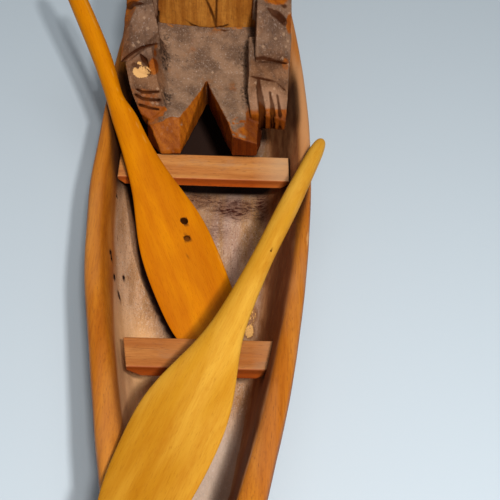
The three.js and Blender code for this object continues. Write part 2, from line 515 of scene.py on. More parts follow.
def makeHull():
    high = hullForm["rimHeight"]
    corner = Vector((hullForm["halfLength"], hullForm["halfBeam"], 0))
    hull = startBlock("hull_carved", -corner, corner + Vector((0, 0, high)))
    cuts = [((x * side * mm, 0, 0), (1, 0, 0)) for x in hullForm["stations"] for side in (-1, 1)]
    cuts += [((0, 0, 0), (1, 0, 0)), ((0, 0, 0), (0, 1, 0))]
    cuts += [((0, 0, up * high), (0, 0, 1)) for _, _, up in hullForm["outside"][1:]]
    for place, across in cuts:
        pickAll()
        bpy.ops.mesh.bisect(plane_co=place, plane_no=across)
    mesh = bmesh.from_edit_mesh(hull.data)
    mesh.verts.index_update()

    def rowAt(height):
        return numbersOf(point for point in mesh.verts if abs(point.co.z - height) < tiny)

    rows = [(mid, stem, up, rowAt(up * high)) for mid, stem, up in hullForm["outside"]]
    top = rowAt(high)
    for mid, stem, up, row in rows:
        shapeRow(hull, row, lambda x: outsideWidth(x, mid, stem),
                 lambda x: keel(x) + up * (sheer(x) - keel(x)))
    shapeRow(hull, top, lambda x: halfBreadth(x) - hullForm["rimRound"] * min(1, halfBreadth(x) / (6 * mm)),
             sheer)

    for side in (-1, 1):  # each stem is drawn out to a rounded nose
        pick(hull, lambda face: side * face.normal.x > 0.99, "FACE")
        drawOut((side * hullForm["nose"], 0, 0))
        nose = pickedPoints(hull)
        centre = sum((point.co for point in nose), Vector()) / len(nose)
        bpy.ops.transform.resize(value=hullForm["noseTaper"], center_override=tuple(centre))

    pick(hull, lambda face: face.normal.z > 0.8 and face.calc_center_median().z > high - mm
         and abs(face.calc_center_median().x) < hullForm["hollowEnd"], "FACE")
    bpy.ops.mesh.inset(thickness=hullForm["rimWidth"] - hullForm["rimBevel"], use_even_offset=True)
    row = numbersOf(pickedPoints(hull))
    shapeRow(hull, row, lambda x: innerRim(x) + hullForm["rimBevel"], sheer)
    for share, up in hullForm["hollow"]:
        pick(hull, lambda point: point.index in row)
        bpy.ops.mesh.select_mode(type="FACE")
        drawOut((0, 0, -mm))
        bmesh.from_edit_mesh(hull.data).verts.index_update()
        row = numbersOf(pickedPoints(hull))
        shapeRow(hull, row, lambda x: innerRim(x) * share, lambda x: floorAt(x) + up * (sheer(x) - floorAt(x)))
    closeMesh()
    smoothOut(hull)
    roughen(hull, "hull_waves", 30 * mm, 0.7 * mm, (2.2, 1, 1))
    roughen(hull, "hull_knife", 5 * mm, 0.25 * mm, (3.5, 1, 1))
    openMesh(hull)
    # the starboard rim is worn round on the inside
    rim, side, floor = hullForm["wornRim"], hullForm["fullSide"], hullForm["fullFloor"]
    pick(hull, lambda point: point.co.y < 0 and abs(point.co.y + innerRim(point.co.x)) < rim["reach"]
         and abs(point.co.x) < rim["end"] and sheer(point.co.x) - rim["down"] < point.co.z)
    bpy.ops.mesh.vertices_smooth(factor=0.5, repeat=rim["strokes"])
    pick(hull, lambda point: abs(point.co.x - side["x"]) < 14 * mm and abs(point.co.z - side["z"]) < 7 * mm
         and point.co.y < 0.8 * mm - halfBreadth(point.co.x))
    push((0, -side["by"], 0), side["round"])
    # the floor rises to the starboard wall, where the knife left it fuller
    pick(hull, lambda point: abs(point.co.y + 0.62 * innerRim(point.co.x)) < 1.2 * mm
         and abs(point.co.x - floor["x"]) < floor["along"] and point.normal.z > 0.3 and point.co.z < 12 * mm)
    push((0, 0, floor["by"]), floor["round"], connected=True)
    # the keel sits flat on the table
    pick(hull, lambda point: point.co.z < 0.06 * mm)
    bpy.ops.transform.resize(value=(1, 1, 0), center_override=(0, 0, 0))
    closeMesh()
    for hole in hullForm["holes"]:
        cutAway(hull, grooveTube(hole))
    takeUp(hull)
    bpy.ops.object.shade_smooth_by_angle(angle=math.radians(50))
    return hull


# Thwarts

thwartForm = {
    # for the starboard and the port end: how far the top reaches past the plain bar, the cut under it
    # along and up, and how much shorter its front is, all in mm
    "thwart_aft": ((0, 2, 1.6, 0), (0, 2, 1.6, 0)),
    "thwart_mid": ((0, 2, 1.6, 0), (0, 2, 1.6, 0)),
    "thwart_fore": ((0, 4.7, 2.8, 1.4), (1.7, 3.8, 2.8, 0)),
}


def makeThwart(node):
    low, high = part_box(node)
    starboard, port = thwartForm[node]
    low = low - Vector((0, starboard[0] * mm, 0))
    high = high + Vector((0, port[0] * mm, 0))
    thwart = startBlock(node + "_cut", low, high)
    for side, end, (_, along, up, taper) in ((-1, low.y, starboard), (1, high.y, port)):
        sliceOff((high.x, end - side * taper * mm, 0),
                 Vector((taper * mm, side * (high.x - low.x), 0)).normalized())
        sliceOff((0, end, low.z + up * mm), Vector((0, side * up * mm, -along * mm)).normalized())
    closeMesh()
    wearDown(thwart, 0.22 * mm)
    roughen(thwart, "thwart_saw", 4 * mm, 0.12 * mm, (1, 4, 1))
    bpy.ops.object.shade_smooth()
    return thwart


# Paddles: one straight piece each, drawn out station by station from the tip of the blade

rounded = 1.026  # makes up for what the rounding takes off a ring of 16 points
paddleForm = {
    "paddle_loose": {
        "tip": (128.8, -12.2, 33.5),
        "grip": (4.3, 31.3, 28),
        # distance from the tip, half the width, half the thickness, sideways
        "stations": ((0, 1.6, 0.6, 0), (2.5, 4.2, 0.9, 0), (6, 6.2, 1.1, 0), (11, 7.7, 1.2, 0),
                     (17, 8.8, 1.3, 0), (27, 9.4, 1.4, 0.1), (35, 9.35, 1.5, 0.3), (42.5, 8, 1.6, 0.2),
                     (50.5, 5.7, 1.8, 0), (58.5, 3.85, 1.9, 0), (68, 3.15, 2, 0), (84, 2.4, 2, 0.1),
                     (100, 2.75, 2.2, 0), (115, 2.3, 2.1, 0), (126, 2.1, 2, 0), (131, 1.5, 1.4, 0),
                     (132, 0.6, 0.6, 0)),
        # how dark the painted shade inside is, mouth and end in mm, each with its radius
        "holes": ((0.8, (49.7, 17.0, 31.9, 0.2), (49.7, 17.0, 30.8, 0.1)),),
    },
    "paddle_stowed": {
        "tip": (64, 6.3, 8.2),
        "grip": (-55.9, -44.1, 41.2),
        "stations": ((0, 1.6, 0.5, 0), (3, 5.6, 0.8, 0), (7, 7.9, 1, 0), (12, 9.2, 1.2, 0), (24, 9.8, 1.3, -0.05),
                     (34, 9.65, 1.4, -0.25), (42.5, 8.35, 1.5, -0.75), (51, 6.1, 1.8, -0.6),
                     (60, 4.65, 2, -0.15), (69, 3.75, 2.2, 0), (75.5, 3.6, 2.2, -0.1), (79, 3.0, 2.2, 0.15),
                     (82.5, 2.35, 2.2, 0.45), (87, 2.4, 2.3, 0.1), (94, 2.65, 2.4, -0.45), (102, 2.8, 2.6, -0.65),
                     (120, 2.8, 2.6, -0.4), (130, 2.4, 2.4, 0), (133, 1.6, 1.6, 0), (134, 0.6, 0.6, 0)),
        "holes": (
            (0.95, (28.0, -4.3, 20.6, 1.0), (27.2, -4.5, 16.2, 0.95)),
            (0.75, (32.9, -3.3, 19.3, 1.0), (32.6, -3.4, 17.3, 0.8)),
            (0.5, (37.9, -3.1, 17.3, 0.25), (37.8, -3.1, 16.7, 0.14)),
        ),
    },
}


def paddlePlace(form):
    tip = Vector(form["tip"]) * mm
    along = (Vector(form["grip"]) * mm - tip).normalized()
    across = Vector((0, 0, 1)).cross(along).normalized()
    turn = Matrix((along, across, along.cross(across))).transposed().to_4x4()
    return Matrix.Translation(tip) @ turn


def makePaddle(node):
    form = paddleForm[node]
    clearSelection()
    bpy.ops.mesh.primitive_circle_add(vertices=16, radius=mm, fill_type="NGON", rotation=(0, math.radians(-90), 0))
    paddle = bpy.context.object
    paddle.name = node + "_carved"
    settle(paddle)
    openMesh(paddle)
    start, width, thick, aside = form["stations"][0]
    bpy.ops.transform.resize(value=(1, width * rounded, thick * rounded))
    for distance, nextWidth, nextThick, nextAside in form["stations"][1:]:
        drawOut(((distance - start) * mm, (nextAside - aside) * mm, 0))
        bpy.ops.transform.resize(value=(1, nextWidth / width, nextThick / thick),
                                 center_override=(distance * mm, nextAside * mm, 0))
        start, width, thick, aside = distance, nextWidth, nextThick, nextAside
    faceOutwards()
    closeMesh()
    smoothOut(paddle)
    paddle.matrix_world = paddlePlace(form)
    settle(paddle)
    for _, *hole in form["holes"]:
        cutAway(paddle, grooveTube(hole, 14))
    takeUp(paddle)
    bpy.ops.object.shade_smooth_by_angle(angle=math.radians(40))
    return paddle


# Seated figure, cut with a knife from one block. Each block below is a box, from its low to its high
# corner, and the knife's flat cuts. A cut goes through three points, or it runs along the named axis
# through two points that are given without that axis. Everything in mm.

lapForm = {
    "voxel": 0.3,  # fineness of the worn surface
    "knife": 0.5, "rub": 0.16,  # depth of the knife's marks and of the wear
    "blocks": {
        "hips_low": ((-55, -15.4, 20.3), (-20.2, 15.2, 31), ()),
        "hips": ((-55, -14.8, 22), (-20.2, 14.6, 38), (
            ("y", (-34, 38), (-25, 33.6)),
        )),
        "belly": ((-50, -15, 22), (-20.2, 15, 36), (
            ("y", (-29, 35.3), (-19.4, 31.2)),
        )),
        "thigh_starboard": ((-40, -15.8, 20.3), (5, 0.4, 32.5), (
            ((-20, 0, 20.4), (3.9, -6.9, 20.6), (-17, -0.3, 31.1)),
            ((-17, -0.3, 31.1), (3.9, -6.9, 20.6), (-4.8, -6.5, 28.6)),
            ((3, -12.1, 21), (3.3, -7.1, 21), (-3.3, -9.1, 28)),
            ((-19.5, 0, 31.1), (-19.5, -15, 31.3), (-3.3, -9.1, 28.1)),
            ((-6.9, -11.8, 28.6), (-3.4, -9.3, 28), (-4, -14.6, 26.7)),
            ((-3.1, -15.6, 27), (-2, -15.8, 21), (2.6, -12.2, 21)),
            ((2.3, -11.9, 23.5), (2, -7, 23.5), (3, -9, 20.3)),
        )),
        "thigh_port": ((-40, -1, 20.3), (3.4, 15.8, 32.5), (
            ((-20, 0, 20.4), (3, 7.5, 20.6), (-17, -0.3, 31.1)),
            ((-17, -0.3, 31.1), (3, 7.5, 20.6), (-0.9, 6.2, 29.4)), ((3, 7.5, 20.6), (2.8, 14, 22), (2.7, 7.8, 27)),
            ("y", (-19.5, 31.1), (-1.3, 28.9)), ((0.6, 7, 28.3), (2.9, 14.1, 24.5), (-3, 13, 28.3)),
            ((-1.3, 6.4, 28.9), (2.9, 7.8, 26.8), (2.9, 13, 25)),
            ((2.9, 14.4, 23.4), (-2, 15.6, 26), (1.8, 14.4, 20.4)),
            ((-12, 14.6, 29.5), (-12, 16, 21), (2.8, 14.6, 22)),
        )),
        "hand_starboard": ((-27, -23.6, 23.5), (-2.5, -11, 39.5), (
            ((-26, -14, 38), (-10, -13.4, 34), (-18, -11, 31.4)), ("y", (-18.5, 39.2), (-8.6, 32.6)),
            ("y", (-8.6, 32.4), (-4.2, 27.8)), ((-14.5, -23.6, 36.6), (-9.1, -20.7, 32.6), (-22.6, -24, 30.8)),
            ((-9.1, -20.7, 32.6), (-5.3, -19.5, 28.6), (-17.1, -21.1, 26.6)),
            ((-5.3, -19.5, 28.6), (-3.4, -15.2, 27.2), (-6.2, -18.6, 23.6)),
            ((-3.6, -14.7, 27), (-5.8, -11.6, 30), (-3.4, -14.4, 24)),
        )),
        "hand_port": ((-26, 11.2, 24.6), (-3.7, 22.3, 39.5), (
            ((-17, 13, 38.4), (-17, 20, 38.2), (-10.5, 16, 36.2)),
            ((-10.9, 13.6, 36.5), (-10.1, 19.2, 35.9), (-3.7, 16, 29.8)),
            ((-9.7, 11.2, 33), (-3.4, 12.2, 30), (-5, 12.6, 25)),
            ((-13, 22.3, 34.5), (-5.7, 21.9, 28), (-6, 21.7, 25)),
            ((-14, 20.2, 37), (-10, 22.2, 33), (-5, 20.6, 29.2)),
        )),
    },
    # along, across, up and radius at every point of a groove
    "grooves": (
        ((-17.4, -18.4, 38.2, 0.23), (-16, -17.2, 37.3, 0.8), (-14.3, -15.9, 36.2, 0.27)),
        ((-10.9, -21.4, 32.4, 0.23), (-8.7, -18.3, 32.6, 0.31), (-8.4, -17.4, 32.3, 0.35),
         (-8.4, -15.5, 32.3, 0.35), (-8.6, -13, 32.5, 0.27)),
        ((-9.9, -21.2, 31.2, 0.27), (-7.7, -18.7, 31.6, 0.33), (-7.2, -17.3, 31, 0.37), (-7.1, -15.4, 30.9, 0.39),
         (-7.2, -12.6, 30.7, 0.35)),
        ((-8.1, -20.2, 29.5, 0.35), (-7, -18.9, 29.8, 0.41), (-6.2, -17.9, 29.5, 0.41), (-5.8, -16.5, 29.5, 0.3),
         (-5.5, -15.3, 29.3, 0.33), (-5.3, -13, 29.1, 0.27)),
        ((-5.4, -17.8, 28.4, 0.23), (-6, -18.2, 25.4, 0.39)),
        # the chip out of the back of the hand
        ((-14.2, -20, 37.2, 1), (-13.2, -17.9, 37.2, 2), (-12.2, -15.6, 36, 1.1)),
        ((-32.2, 3.4, 37.3, 0.15), (-32, 4.3, 37.2, 0.25), (-32.2, 5.4, 37.3, 0.1)),
        ((-10.8, 14, 36.4, 0.23), (-9, 14.2, 34.9, 0.75), (-7, 14.7, 33.1, 0.95), (-4.3, 15.3, 30.5, 1),
         (-3.5, 15.6, 24.4, 0.95)),
        ((-8.6, 17.3, 33.5, 0.25), (-6.3, 18, 31.4, 0.51), (-4.5, 18.2, 29.8, 0.8), (-3.5, 18.4, 24.4, 0.7)),
        ((-8.4, 19.3, 32.9, 0.25), (-6.4, 19.9, 31, 0.39), (-4.8, 20.2, 29.5, 0.48), (-3.5, 20.4, 24.4, 0.43)),
        # the knuckles
        ((-11.3, 11.8, 36.9, 0.2), (-10.9, 13.6, 36.5, 0.26), (-11.2, 19, 35.3, 0.26), (-10, 21.3, 33.5, 0.2)),
    ),
}

trunkForm = {
    "voxel": 0.33, "knife": 0.5, "rub": 0.16,
    "blocks": {
        "chest": ((-55, -16, 34), (-31, 14.4, 67), (
            ((-32.8, 0, 38), (-32.2, 0, 62), (-33.7, -13, 38)), ((-32.8, 0, 38), (-32.2, 0, 62), (-33.5, 13, 38)),
            ("x", (-15, 38), (-16, 58)), ("x", (13.6, 38), (14.4, 58)), ("y", (-55, 46), (-50, 66)),
            ((-44, -14, 60.5), (-36, -14, 60), (-43, -4.5, 67)), ((-44, 14, 60.5), (-36, 14, 60), (-43, 4.5, 67)),
            ("y", (-31.8, 58), (-37, 66.5)), ((-35.4, -15.2, 38), (-34, -14.4, 48), (-37, -16, 60)),
            ((-35.4, 13.8, 38), (-34.2, 13, 48), (-37, 14.4, 60)),
        )),
        "upper_arm_starboard": ((-50, -22.6, 42), (-30, -14.6, 65), (
            ("x", (-20, 60.8), (-14, 61.6)), ("x", (-22.6, 56), (-20, 62)), ("y", (-34, 60), (-30.4, 48)),
            ("y", (-50, 58), (-43, 42)), ((-33.5, -22.6, 56), (-31, -22.6, 46), (-35, -20, 62)),
        )),
        "upper_arm_port": ((-50, 12, 42), (-30, 22.4, 65), (
            ("x", (20, 60.8), (13, 61.8)), ("x", (22.4, 56), (20, 62)), ("y", (-34, 60), (-30.4, 48)),
            ("y", (-50, 58), (-43, 42)), ((-33.5, 22.4, 56), (-31, 22.4, 46), (-35, 20, 62)),
        )),
        "sleeve_starboard": ((-46, -24, 29.5), (-14, -13.4, 51), (
            ((-24.1, -22.6, 48.6), (-14.3, -23.5, 40), (-28, -23.3, 40.3)),
            ((-24.3, -15.1, 50.5), (-20.5, -13.6, 44.5), (-32.7, -16.1, 45.2)),
            ((-22.1, -19.2, 50), (-23.5, -14, 50), (-17.4, -18.4, 39.6)),
            ((-30, -16, 50.6), (-22.1, -19.2, 50), (-30, -22, 50)),
            ((-22.1, -19.2, 50), (-18, -21.3, 45), (-25.7, -22.6, 49)),
            ((-18, -21.3, 45), (-14.6, -22.9, 38), (-21, -23.3, 45)),
            ((-14.4, -22.8, 38), (-20.3, -14.7, 39.5), (-17.3, -19.6, 30)),
            ((-36, -23, 44), (-26, -23, 30), (-20, -23.8, 29.4)), ("y", (-36, 31), (-14.4, 37.4)),
            ("y", (-46, 46), (-30, 30)),
        )),
        "sleeve_port": ((-46, 13, 29.5), (-14, 22.6, 50.5), (
            ((-23.7, 13.6, 48.4), (-22, 20.7, 48), (-16.4, 15, 39.4)),
            ((-30, 16, 50.2), (-23.5, 15, 48.6), (-24, 20, 48.4)),
            ((-22.4, 20.4, 48), (-22.5, 22.3, 45.4), (-16.6, 22, 38.4)),
            ((-15.8, 13.4, 38.9), (-15.8, 22.1, 38), (-17.4, 17, 29.6)), ("y", (-46, 46), (-30, 30)),
        )),
    },
    "grooves": (
        ((-14.9, -23.4, 37.3, 0.27), (-16.3, -21.2, 38.8, 0.35), (-16.9, -20, 39.4, 0.37), (-17.9, -18, 40.2, 0.37),
         (-19, -16.4, 40.1, 0.35), (-20.5, -13.8, 39.6, 0.31)),
        ((-32.7, 1.8, 36.8, 0.23), (-32.6, 1.9, 46.5, 0.23), (-32.2, 1.3, 57, 0.28), (-33.7, 0.8, 61.5, 0.28),
         (-37, 0.5, 66, 0.25)),
        ((-32.5, -2, 50, 0.15), (-32.5, -0.9, 46.4, 0.24), (-32.6, 0.2, 43.7, 0.28), (-32.7, 1.2, 40.7, 0.23),
         (-32.8, 1.7, 38.5, 0.22)),
        ((-33, -6.8, 39.4, 0.2), (-33, -5.1, 38, 0.3), (-32.8, -2.9, 37.2, 0.35), (-32.7, 0.4, 37.2, 0.35),
         (-32.8, 1.8, 37.4, 0.33), (-32.9, 3.7, 37.9, 0.28), (-33, 5.2, 38.5, 0.15)),
        ((-14.6, 12.6, 37.7, 0.31), (-16.6, 12.8, 38.6, 0.37), (-16.3, 15.2, 39.3, 0.41), (-15.9, 18.1, 38.9, 0.37),
         (-15.6, 22.9, 37.5, 0.31)),
        ((-24.9, -22.9, 48.4, 0.39), (-24.2, -20.8, 49.4, 1.25), (-23.8, -18, 50.4, 0.39)),
        ((-25.6, 16, 49.4, 0.31), (-24, 18, 48.7, 1.2), (-22, 20.6, 47.2, 0.9)),
        ((-26.9, 18.6, 50.2, 0.31), (-26.6, 20.6, 49.8, 0.9)),
        # seam down the back, the lapels and the armholes
        ((-55.1, 0.4, 37, 0.23), (-55.1, 0, 46, 0.31), (-52.5, 0.3, 56, 0.31), (-50.2, 0, 65, 0.23)),
        ((-36.7, 5.4, 64.6, 0.25), (-33.2, 4.4, 61, 0.31), (-32.1, 2.2, 58, 0.2)),
        ((-36.7, -5.4, 64.6, 0.25), (-33.2, -4.4, 61, 0.31), (-32.1, -2.2, 58, 0.2)),
        ((-45, -16.4, 62.4, 0.31), (-46.5, -15.6, 52, 0.43), (-46.8, -15.4, 44, 0.31)),
        ((-45, 15.2, 62.4, 0.31), (-46.5, 14.4, 52, 0.43), (-46.8, 14.2, 44, 0.31)),
    ),
}

# The head is the same on both sides: what is drawn for port is repeated.
headForm = {
    "voxel": 0.22, "knife": 0.25, "rub": 0.1,
    "blocks": {
        "neck": ((-47.4, -4.6, 60), (-38.6, 4.6, 71.5), (
            ("z", (-38.6, 2.6), (-40.8, 4.6)), ("z", (-47.4, 2.6), (-45.2, 4.6)),
        )),
        "collar": ((-50.6, -6.8, 61), (-36.4, 6.8, 67.4), (
            ("y", (-36.4, 62.6), (-39.6, 67.4)), ("y", (-50.6, 63.4), (-48.9, 67.4)),
            ("x", (6.8, 63.6), (5.6, 67.4)), ("z", (-36.4, 4), (-39.6, 6.8)),
        )),
        "skull": ((-51.6, -7.1, 71), (-36.9, 7.1, 89.6), (
            ("y", (-36.9, 84), (-41, 89.6)), ("y", (-46, 89.6), (-51.6, 84)), ("y", (-51.6, 77), (-47, 71)),
            ("z", (-36.9, 4.2), (-40.5, 7.1)), ("z", (-51.6, 3.4), (-47.5, 7.1)), ("x", (4.6, 89.6), (7.1, 85.6)),
            ((-36.9, 6.2, 77.5), (-36.9, 4.4, 71), (-46, 7.1, 74)),
        )),
        "face": ((-46, -6.2, 69.2), (-35.8, 6.2, 80), (
            ("y", (-35.8, 76.4), (-36.8, 80)), ("y", (-35.8, 74.4), (-36.5, 69.2)),
            ((-35.9, 3.4, 80), (-35.9, 2.9, 70), (-40.5, 6.2, 78)),
            ((-36.2, 2.6, 69.2), (-45.5, 5.2, 70.8), (-40, 6.2, 74.4)), ("y", (-37.6, 69.2), (-46, 72)),
        )),
        "brow": ((-39.4, -5.6, 78.9), (-35.2, 5.6, 82.6), (
            ("y", (-35.2, 80.6), (-37, 82.6)), ("z", (-35.2, 1.6), (-38.5, 5.6)), ("x", (1.2, 80.6), (5, 79.4)),
        )),
        "cheek": ((-40, 1.9, 73.4), (-35.5, 5.4, 77.6), (
            ("z", (-35.5, 2.6), (-39.4, 5.4)), ("y", (-35.5, 76.4), (-36.6, 77.6)),
            ("y", (-35.5, 76.2), (-36.5, 73.4)),
        )),
        "eye": ((-38, 1.8, 77.7), (-35.85, 4.45, 79.3), (
            ("z", (-35.85, 2.5), (-36.8, 1.8)), ("z", (-35.85, 3.5), (-37, 4.45)),
            ("y", (-35.85, 78.8), (-36.5, 79.3)), ("y", (-35.85, 78.2), (-36.5, 77.7)),
        )),
        "nose": ((-37.4, -1.7, 74.3), (-33.2, 1.7, 81), (
            ("y", (-35.2, 81), (-33.3, 75.6)), ("y", (-33.3, 75.5), (-35.6, 74.3)),
            ((-33.5, 0.65, 75.6), (-35.3, 0.55, 80.6), (-36.6, 1.7, 75)),
        )),
        "nostrils": ((-36.8, -2, 74.4), (-34.4, 2, 76), (
            ("z", (-34.4, 0.8), (-36, 2)), ("y", (-34.4, 75.3), (-36.4, 76.2)),
        )),
        "lips": ((-37.6, -2.7, 72), (-35.1, 2.7, 74), (
            ("z", (-35.1, 0.6), (-36.5, 2.7)), ("y", (-35.1, 73.4), (-36, 74)), ("y", (-35.1, 72.7), (-36, 72)),
        )),
        "chin": ((-38.6, -2.4, 68.9), (-35.4, 2.4, 71.3), (
            ("z", (-35.4, 1), (-37, 2.4)), ("y", (-35.4, 70.6), (-36.4, 71.3)), ("y", (-35.4, 69.8), (-36.8, 68.9)),
        )),
        "ear": ((-45.2, 6.2, 74.6), (-41.7, 8.1, 80.2), (
            ("y", (-41.7, 76.8), (-43.3, 74.6)), ("y", (-45.2, 77.2), (-44, 74.6)),
            ("y", (-41.7, 78.8), (-42.8, 80.2)), ("y", (-45.2, 78.9), (-44.2, 80.2)),
            ("z", (-41.7, 7.2), (-45.2, 8.1)),
        )),
        "hair": ((-52.9, -7.8, 74.8), (-38.4, 7.8, 90.6), (
            ("y", (-38.4, 85.2), (-42.6, 90.6)), ("y", (-47, 90.6), (-52.9, 85)), ("y", (-52.9, 80), (-48.5, 74.8)),
            ("z", (-38.4, 4.6), (-41.6, 7.8)), ("z", (-52.9, 3.6), (-48.4, 7.8)), ("x", (4.9, 90.6), (7.8, 86.2)),
            ("y", (-38.4, 83.4), (-46.4, 76)),
        )),
    },
    "grooves": (
        ((-36.5, 1.7, 78.2, 0.14), (-36, 2.3, 79, 0.18), (-35.95, 3.3, 79.3, 0.2), (-36.5, 4.3, 78.9, 0.15)),
        ((-36.4, 1.9, 78, 0.1), (-36, 3, 77.7, 0.15), (-36.6, 4.2, 77.9, 0.1)),
        ((-35.1, 0, 72.98, 0.22), (-35.2, 0.9, 73.08, 0.26), (-35.7, 1.9, 73.15, 0.2), (-36.3, 2.7, 73.25, 0.1)),
        ((-34, 0.75, 74.2, 0.28), (-34.4, 0.8, 75, 0.2)),
        ((-42.5, 7.4, 78.9, 0.3), (-43.5, 8, 79.1, 0.42), (-44.4, 8.3, 77.9, 0.42), (-43.6, 8, 76.2, 0.3)),
    ),
    # gouge marks over the hair: they start at the crown and run down to the hairline
    "comb": {"strands": 17, "crown": (-46.4, 0, 82), "reach": (9, 9.5, 11), "width": 0.36,
             "fall": (18, 34, 50, 66, 82, 96, 108)},
}


def mirrored(points):
    return tuple((x, -y, *rest) for x, y, *rest in points)


def bothSides(drawn):
    # What is drawn for port, and its mirror image where that isn't the same
    return list(drawn) + [mirrored(cut) for cut in drawn if set(mirrored(cut)) != set(cut)]


def cutPoints(cut):
    if not isinstance(cut[0], str):
        return cut
    axis = "xyz".index(cut[0])
    return tuple((*flat[:axis], far, *flat[axis:]) for flat, far in ((cut[1], -5), (cut[1], 5), (cut[2], 0)))


def listBlocks(form):
    for name, (low, high, cuts) in form["blocks"].items():
        cuts = [cutPoints(cut) for cut in cuts]
        if form is not headForm:
            yield name, low, high, cuts
        elif low[1] < 0:
            yield name, low, high, bothSides(cuts)
        else:
            yield name + "_port", low, high, cuts
            yield (name + "_starboard", (low[0], -high[1], low[2]), (high[0], -low[1], high[2]),
                   [mirrored(cut) for cut in cuts])


def hairLine(x):
    return 76.6 + 0.925 * (x + 46.4)


def combHair(head):
    comb = headForm["comb"]
    for strand in range(comb["strands"]):
        line = []
        for fall in comb["fall"]:
            angle = math.tau * (strand + 0.003 * fall) / comb["strands"]
            out, up = math.sin(math.radians(fall)), math.cos(math.radians(fall))
            way = (math.cos(angle) * out, math.sin(angle) * out, up)
            reach = Vector([a + b * c for a, b, c in zip(comb["crown"], comb["reach"], way)])
            place = head.closest_point_on_mesh(reach * mm)[1] / mm
            if place.z < hairLine(place.x) + 0.3 or place.z < 76.2:
                break
            line.append((*place, comb["width"]))
        if len(line) > 1:
            cutAway(head, grooveTube(line))


def carveBlock(name, low, high, cuts):
    block = startBlock(name, Vector(low) * mm, Vector(high) * mm)
    for cut in cuts:
        first, second, third = (Vector(point) * mm for point in cut)
        outward = (second - first).cross(third - first).normalized()
        points = [point.co for point in bmesh.from_edit_mesh(block.data).verts]
        if (sum(points, Vector()) / len(points) - first).dot(outward) > 0:
            outward.negate()
        sliceOff(first, outward)
    closeMesh()
    return block


def grooveLines(form):
    return bothSides(form["grooves"]) if form is headForm else form["grooves"]


def makeFigure(part, form):
    blocks = [carveBlock(*block) for block in listBlocks(form)]
    clearSelection()
    for block in blocks:
        block.select_set(True)
    bpy.context.view_layer.objects.active = blocks[0]
    bpy.ops.object.join()
    body = bpy.context.object
    body.name = "figure_" + part
    wearDown(body, form["voxel"] * mm)
    roughen(body, "figure_knife", 5 * mm, form["knife"] * mm)
    roughen(body, "figure_wear", 1.1 * mm, form["rub"] * mm)
    if form is headForm:
        combHair(body)
    for points in grooveLines(form):
        cutAway(body, grooveTube(points))
    takeUp(body)
    bpy.ops.object.shade_smooth()
    return body


# Materials of the pieces. A coat has its mask, its strength, its tint and how it is mixed.

hullLook = {
    "turn": (0, 0, 0.6),
    "light": (0.50, 0.168, 0.011), "dark": (0.385, 0.106, 0.005), "line": (0.55, 0.38, 0.2),
    "pore": (0.16, 0.036, 0.004), "worn": (0.50, 0.225, 0.085),
    "cloud": (60, 5, 5), "rings": (160, 5, 5), "ringDepth": 0.16, "fibre": (7, 0.4, 0.4),
    "fibreDepth": 0.4, "pores": (2.5, 0.16, 0.16), "poreDepth": 0.55,
    "dirt": (0.4, 0.62, (0.26, 0.155, 0.098), (0.47, 0.31, 0.21)),
    "varnish": (1.5, 2.1, 4.5),
    "inside": (
        # painted light: the starboard wall's inside, which turns to port, is made lighter
        ("starboard_wall_light", 0.85, (0.36, 0.6, (0.44, 0.225, 0.10), (0.61, 0.35, 0.19))),
        ("dusty", 1, (0.58, 0.45, 0.35)),
        ("scratch", 1, (0.09, 0.02, 0.008)),
        ("deepPits", 1, (0.10, 0.045, 0.022)),
        ("palePits", 1, (0.66, 0.52, 0.42)),
        ("stained", 1, (0.13, 0.04, 0.018)),
        ("scored", 1, (0.055, 0.010, 0.004)),
        # painted shade: the port wall's inside, which turns to starboard, is made darker
        ("port_wall_shade", 1, (0.4, 0.7, (0.27, 0.085, 0.024), (0.52, 0.225, 0.085))),
        # painted light: the floor ahead of the fore thwart is made lighter
        ("fore_floor_light", 0.6, (0.54, 0.44, 0.36)),
        # painted light: the starboard side towards the bow is made lighter
        ("fore_side_light", 0.6, (0.84, 0.46, 0.20)),
        # painted shade, near black, under the figure, the middle thwart and the stowed blade
        ("tuck", 1, (0.024, 0.010, 0.006)),
        ("rubbed", 1, (0.20, 0.065, 0.014)),
        ("bright", 1, (0.88, 0.47, 0.14)),
    ),
    "all": (
        ("dim", 1, (0.50, 0.36, 0.28), "MULTIPLY"),
        ("edge", 0.5, (0.66, 0.36, 0.14)),
        # painted shade in the corners and wherever another piece lies close
        ("corner", 1, (0.018, 0.005, 0.003)),
        # painted shade inside the woodworm holes and nicks
        ("worm", 1, (0.02, 0.006, 0.003)),
    ),
    # soft spots: scored and stained floor before the middle thwart, and a spot rubbed down to bright wood
    "scars": (((8, 8.5, 5), (4.5, 6, 3), 1), ((5, -2, 5), (3, 7, 3), 0.8), ((16, 3, 5), (5, 4, 3), 0.4),
              ((7, 17, 8), (8, 4, 6), 1)),
    "raw": (((52.4, 13.0, 5.2), (2.6, 1.5, 2), 1), ((47.4, 13.9, 5.2), (3.4, 1.6, 2), 0.62)),
}


def shadeUnderBlade(x, y, z):
    # Painted shade under the starboard half of the stowed blade, where the blade keeps the light away
    form = paddleForm["paddle_stowed"]
    along = (Vector(form["grip"]) - Vector(form["tip"])).xy.normalized()
    x, y = x - form["tip"][0], y - form["tip"][1]
    down = 1.03 * (x * along.x + y * along.y)
    aside = y * along.x - x * along.y
    distance, width, _, off = np.array(form["stations"]).T
    return (ramp(aside - np.interp(down, distance, off) - np.interp(down, distance, width), 0.3, -0.3)
            * ramp(aside, 0, 1) * ramp(down, 2, 8) * ramp(down, 84, 76) * ramp(z, 24, 21))


